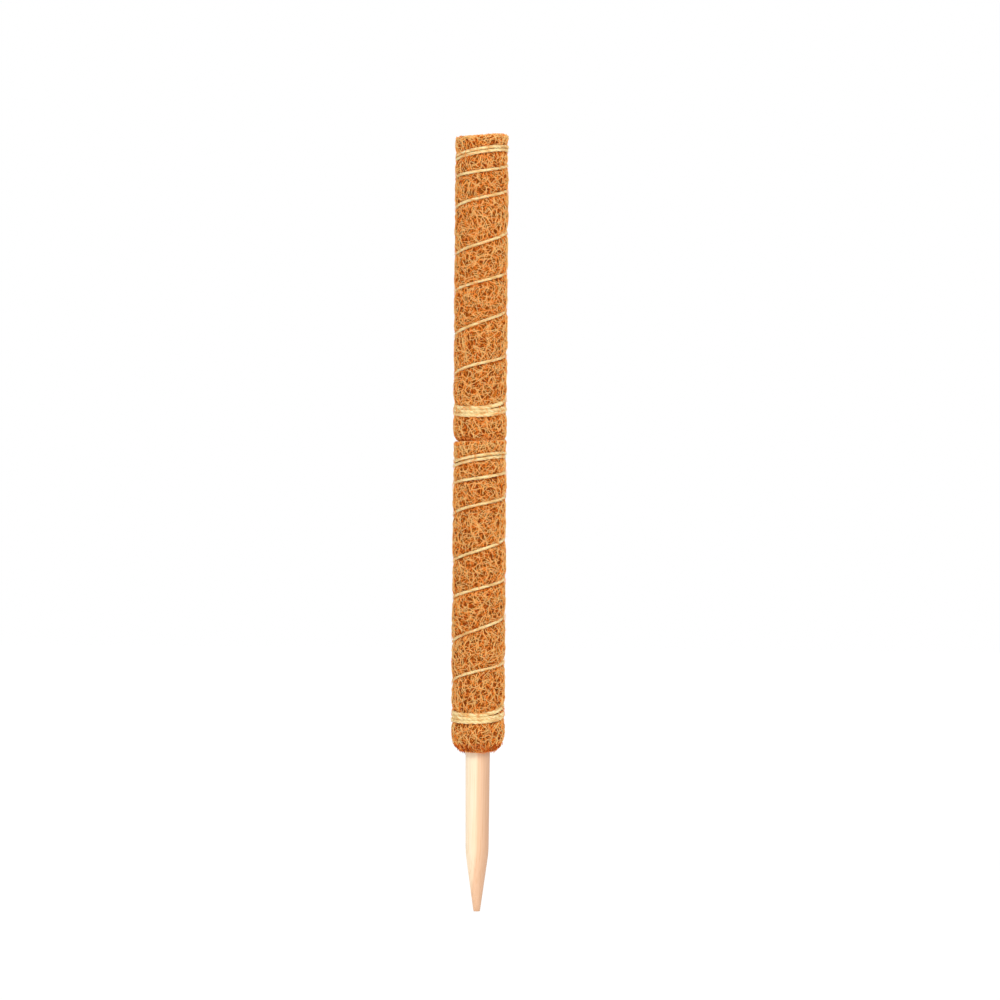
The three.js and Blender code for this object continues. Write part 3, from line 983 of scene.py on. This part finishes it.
def fibre_material():
    """Coir fibre: a tone for each fibre, from dark brown to pale tan, mottled along it; the tones carry
    painted shade and light.
    """
    material, tree, shader = new_material("coir_fibre", roughness=0.55, specular=0.15)
    tone, along = map_parts(tree)
    across = calculate(tree, "MULTIPLY", tone, MOTTLE_ACROSS)
    spot = add_node(tree, "CombineXYZ", {0: across, 1: along})
    mottle = noise(tree, spot.outputs[0], scale=6.0, detail=2.0)
    shift = calculate(tree, "MULTIPLY_ADD", mottle, MOTTLE, -MOTTLE / 2)
    shade = add_ramp(
        tree,
        calculate(tree, "ADD", tone, shift),
        (0.0, (124, 36, 0)),
        (0.25, (226, 98, 4)),
        (0.5, (255, 150, 50)),
        (0.75, (255, 183, 94)),
        (1.0, (255, 212, 138)),
    )
    tree.links.new(shade, shader.inputs["Base Color"])
    return material


def mat_material():
    """The felted coir under the fibres, mottled, and dark as painted shade in the gaps between the
    fibres.
    """
    material, tree, shader = new_material("coir_mat", roughness=0.9, specular=0.15)
    felt = noise(tree, object_place(tree), scale=700.0, detail=3.0, distortion=3.0)
    shade = add_ramp(tree, felt, (0.3, (92, 42, 2)), (0.55, (150, 78, 14)), (0.75, (200, 114, 34)))
    tree.links.new(shade, shader.inputs["Base Color"])
    add_bump(tree, shader, felt, distance=0.6 * MM)
    return material


TWINE_TURNS = 22.0  # of a ply's fibres round it, on one width of its map
TWINE_STREAKS = 14.0
TWINE_STRETCHES = 11.0


def twine_material():
    """Pale bast twine: fine fibres that run round each ply, with darker and lighter stretches."""
    material, tree, shader = new_material("twine", roughness=0.8, specular=0.2)
    along, round_it = map_parts(tree)
    lean = calculate(tree, "MULTIPLY", along, TWINE_TURNS)
    turn = calculate(tree, "MULTIPLY", calculate(tree, "ADD", round_it, lean), math.tau)
    round_ply = [calculate(tree, operation, turn) for operation in ("COSINE", "SINE")]
    ahead = calculate(tree, "MULTIPLY", along, TWINE_STREAKS)
    spot = add_node(tree, "CombineXYZ", {0: round_ply[0], 1: round_ply[1], 2: ahead})
    streak = noise(tree, spot.outputs[0], scale=3.2, detail=3.0)
    shade = add_ramp(
        tree, streak, (0.3, (216, 170, 106)), (0.5, (255, 230, 168)), (0.66, (255, 249, 203))
    )
    stretch = calculate(tree, "MULTIPLY", along, TWINE_STRETCHES)
    spot = add_node(tree, "CombineXYZ", {0: stretch})
    slow = noise(tree, spot.outputs[0], scale=1.0, detail=1.0)
    stain = add_ramp(
        tree, slow, (0.35, (236, 206, 174)), (0.5, (252, 246, 238)), (0.6, (255, 255, 255))
    )
    tree.links.new(multiply(tree, shade, stain), shader.inputs["Base Color"])
    add_bump(tree, shader, streak, distance=0.15 * MM)
    return material


PITH = (60 * MM, 34 * MM)  # the tree's own middle, off to the right and behind, which also sets where the painted light and shade fall
SAPWOOD_EDGE = 73.2 * MM  # from there to the line where redder wood turns to cream
WOOD_SPAN = 20 * MM
WOOD_SWAY = 2.4 * MM
RING_STEP = 0.9 * MM


def wood_material():
    """Pale sanded wood: cream sapwood against redder wood, with faint rings and grain along it, and
    painted light on the cream side and painted shade on the redder side.
    """
    material, tree, shader = new_material("pale_wood", roughness=0.55, specular=0.3)
    place = object_place(tree)
    sway = noise(tree, stretched(tree, place, along=0.1), scale=110.0, detail=2.0)
    ends = {0: stretched(tree, place, along=0.0), 1: (*PITH, 0.0)}
    away = add_node(tree, "VectorMath", ends, operation="DISTANCE").outputs["Value"]
    bent = calculate(tree, "MULTIPLY_ADD", sway, WOOD_SWAY, away)
    inside = calculate(tree, "SUBTRACT", bent, SAPWOOD_EDGE + WOOD_SWAY / 2)
    # Painted light and shade: paler towards the cream left, darker towards the redder right, as under
    # light from the left
    wood_with_painted_light = add_ramp(
        tree,
        calculate(tree, "MULTIPLY_ADD", inside, 1 / WOOD_SPAN, 0.5),
        (0.0, (206, 165, 136)),
        (0.3, (224, 182, 149)),
        (0.48, (242, 200, 165)),
        (0.53, (252, 226, 194)),
        (1.0, (255, 249, 228)),
    )
    rings = calculate(tree, "PINGPONG", bent, RING_STEP)
    rings = calculate(tree, "DIVIDE", rings, RING_STEP)
    ring_shade = add_ramp(
        tree, rings, (0.0, (250, 246, 240)), (0.25, (255, 255, 255)), (1.0, (255, 255, 255))
    )
    grain = noise(tree, stretched(tree, place, along=0.03), scale=1400.0, detail=3.0)
    streak = add_ramp(
        tree, grain, (0.3, (248, 240, 230)), (0.5, (254, 252, 249)), (0.7, (255, 255, 255))
    )
    for shade in (ring_shade, streak):
        wood_with_painted_light = multiply(tree, wood_with_painted_light, shade)
    tree.links.new(wood_with_painted_light, shader.inputs["Base Color"])
    add_bump(tree, shader, grain, distance=0.05 * MM)
    return material


def tube_material():
    """Plain off-white plastic pipe with a trace of dust."""
    material, tree, shader = new_material("off_white_plastic", roughness=0.42, specular=0.45)
    dust = noise(tree, object_place(tree), scale=160.0, detail=4.0)
    shade = add_ramp(
        tree, dust, (0.35, (206, 200, 188)), (0.6, (222, 219, 210)), (0.75, (230, 228, 221))
    )
    tree.links.new(shade, shader.inputs["Base Color"])
    rough = add_node(tree, "MapRange", {"Value": dust, "To Min": 0.62, "To Max": 0.32})
    tree.links.new(rough.outputs[0], shader.inputs["Roughness"])
    return material


# The stage

PHOTO_SIDE = 1000
POLE_TOP_PIXEL = 132
POLE_TIP_PIXEL = 911.4
AXIS_PIXEL = 479.5  # across the photograph, half way down it
CAMERA_DISTANCE = 4.0
CAMERA_REACH = 60
CAMERA_ROLL = math.radians(0.4)
SENSOR = 36
WORLD_LIGHT = 0.5
WHITE = (1, 1, 1, 1)
LAMPS = (
    # name, place, size, power
    ("key", (-1.4, -1.7, 2.1), 0.7, 29.5),
    ("fill", (1.2, -1.9, 1.9), 0.8, 36),
    ("back", (0.3, 2.2, 1.9), 0.9, 30),
)


def add_camera():
    low, high = cad_box
    scale = (high.z - low.z) / (POLE_TIP_PIXEL - POLE_TOP_PIXEL)
    data = bpy.data.cameras.new("camera")
    data.sensor_width = SENSOR
    data.lens = SENSOR * CAMERA_DISTANCE / (scale * PHOTO_SIDE)
    data.clip_end = CAMERA_REACH
    camera = new_object("camera", data)
    right = (PHOTO_SIDE / 2 - AXIS_PIXEL) * scale
    up = high.z - (PHOTO_SIDE / 2 - POLE_TOP_PIXEL) * scale
    camera.location = (right, -CAMERA_DISTANCE, up)
    camera.rotation_euler = (math.pi / 2, -CAMERA_ROLL, 0)
    bpy.context.scene.camera = camera


def add_lights():
    """Lamps turned to the pole's middle."""
    aim = np.array((0, 0, (cad_box[0].z + cad_box[1].z) / 2))
    for name, place, size, power in LAMPS:
        data = bpy.data.lights.new(name, "AREA")
        data.size = size
        data.energy = power
        lamp = new_object(name, data)
        lamp.location = place
        x, y, z = aim - place
        lamp.rotation_euler = (math.atan2(math.hypot(x, y), -z), 0, math.atan2(-x, y))


def seen_directly(tree):
    """1 for a ray from the camera, or one that a mirror or glass sends on."""
    rays = add_node(tree, "LightPath").outputs
    total = rays["Is Camera Ray"]
    for other in ("Is Glossy Ray", "Is Transmission Ray"):
        total = calculate(tree, "MAXIMUM", total, rays[other])
    return total


def add_mix(tree, share, first, second):
    return add_node(tree, "MixShader", {0: share, 1: first, 2: second}).outputs[0]


def add_world():
    world = bpy.data.worlds.new("studio")
    world.use_nodes = True
    tree = world.node_tree
    tree.nodes.clear()
    light = add_node(tree, "Background", {"Color": WHITE, "Strength": WORLD_LIGHT})
    white = add_node(tree, "Background", {"Color": WHITE})
    mixed = add_mix(tree, seen_directly(tree), light.outputs[0], white.outputs[0])
    add_node(tree, "OutputWorld", {"Surface": mixed})
    bpy.context.scene.world = world


FLOOR_SIZE = 14
FLOOR_SHADE = (0.95, 0.95, 0.95, 1)
FLOOR_FADE = (0.25, 0.9)  # from the pole out, where the floor turns into plain white
FLOOR_NEAR = 0.85  # share of plain white by the pole
FLOOR_WHITE = 1.03


def floor_material():
    """Pale floor that takes the pole's shadow near it and runs into the white background."""
    material, tree, shader = new_material("floor", roughness=0.9, specular=0.1)
    shader.inputs["Base Color"].default_value = FLOOR_SHADE
    away = add_node(tree, "VectorMath", {0: object_place(tree)}, operation="LENGTH")
    near, far = FLOOR_FADE
    inputs = {"Value": away.outputs["Value"], "From Min": near, "From Max": far, "To Min": FLOOR_NEAR}
    fade = add_node(tree, "MapRange", inputs, interpolation_type="SMOOTHSTEP")
    white = add_node(tree, "Emission", {"Strength": FLOOR_WHITE})
    amount = calculate(tree, "MULTIPLY", fade.outputs[0], seen_directly(tree))
    lit = add_mix(tree, amount, shader.outputs["BSDF"], white.outputs[0])
    under = add_node(tree, "NewGeometry").outputs["Backfacing"]
    clear = add_node(tree, "BsdfTransparent")
    both = add_mix(tree, under, lit, clear.outputs[0])
    tree.links.new(both, tree.nodes["Material Output"].inputs["Surface"])
    return material


def add_floor():
    half = FLOOR_SIZE / 2
    corners = [(-half, -half, 0), (half, -half, 0), (half, half, 0), (-half, half, 0)]
    mesh = bpy.data.meshes.new("floor")
    mesh.from_pydata(corners, [], [(0, 1, 2, 3)])
    mesh.materials.append(floor_material())
    floor = new_object("floor", mesh)
    floor.location = (0, 0, cad_box[0].z)


# Putting it together

TWINE_SEED = 7
KNOT_SEED = 8
# Each knot's end of the twine, its turn, and 1 or -1 for up or down, away from the winding
KNOTS = (("bottom", KNOT_START, -1), ("top", TURN_COUNT - KNOT_START, 1))


def dress(piece, body, slot, *nodes):
    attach(piece, body)
    if nodes:
        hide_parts(*nodes)


def make_section(name, base, body, stake_body, seed, looks):
    mat = Mat(name, base)
    wound = base + WINDING_SHIFT[name]
    coir = make_mat(f"{name}_coir_mat", mat, looks["mat"])
    dress(coir, body, "coir", f"{name}_coir_wrap")
    for number, letter in enumerate(FIBRE_PIECES):
        piece_name = f"{name}_coir_fibres_{letter}"
        fibres = make_fibres(piece_name, mat, (seed, number), looks["fibre"], FRINGE_COUNTS[name])
        dress(fibres, body, "coir")
    twine = make_twine(f"{name}_twine_plies", wound, (seed, TWINE_SEED), looks["twine"])
    dress(twine, body, "twine", f"{name}_twine")
    for end, turns, outward in KNOTS:
        seeds = (seed, KNOT_SEED + outward)
        knot = make_knot(f"{name}_{end}_knot", wound, turns, outward, seeds, looks["twine"])
        dress(knot, body, "twine", f"{name}_twine_{end}_knot")
    stake = make_turned(f"{name}_stake_turned", stake_profile(), base, looks["wood"], False)
    dress(stake, stake_body, "wood", f"{name}_stake")
    tube = make_turned(f"{name}_tube_turned", tube_profile(), base, looks["tube"], True)
    dress(tube, body, "tube", f"{name}_core_tube")


def main():
    bpy.context.scene.view_settings.view_transform = "Standard"
    add_camera()
    add_lights()
    add_world()
    add_floor()
    looks = {
        "fibre": fibre_material(),
        "mat": mat_material(),
        "twine": twine_material(),
        "wood": wood_material(),
        "tube": tube_material(),
    }
    for section in SECTIONS:
        make_section(*section, looks)


main()
